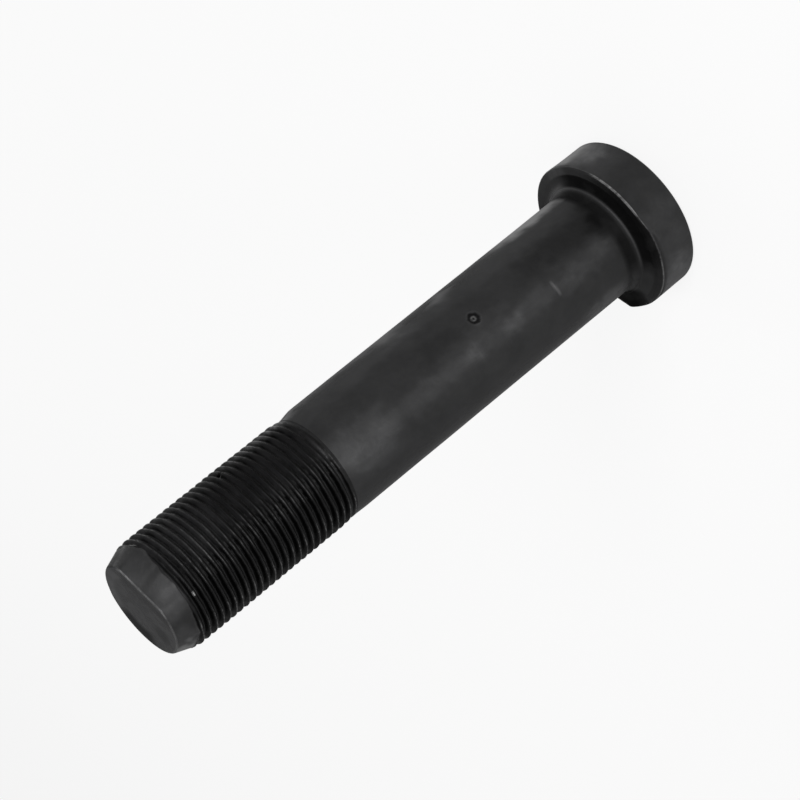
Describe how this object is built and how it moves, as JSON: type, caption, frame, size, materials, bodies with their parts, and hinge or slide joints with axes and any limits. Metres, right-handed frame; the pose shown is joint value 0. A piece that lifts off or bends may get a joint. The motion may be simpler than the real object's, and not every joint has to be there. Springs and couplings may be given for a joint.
{
  "type": "wheel stud",
  "caption": "Long forged wheel stud with a low round head that has one flat, a plain shank, and a fine rolled thread that ends in a smooth lead cone.",
  "frame": {"origin": "centre of the head's outer face, on the stud's axis", "axes": "+Z along the stud from the head to the tip, -Y square to the flat on the head"},
  "size_m": [0.0318, 0.029, 0.1239],
  "materials": {
    "blackened_steel": "phosphated and oiled forged steel, dark grey with a soft sheen, blacker in the thread"
  },
  "bodies": {
    "root": {"wheel_stud": "blackened_steel"}
  },
  "joints": []
}
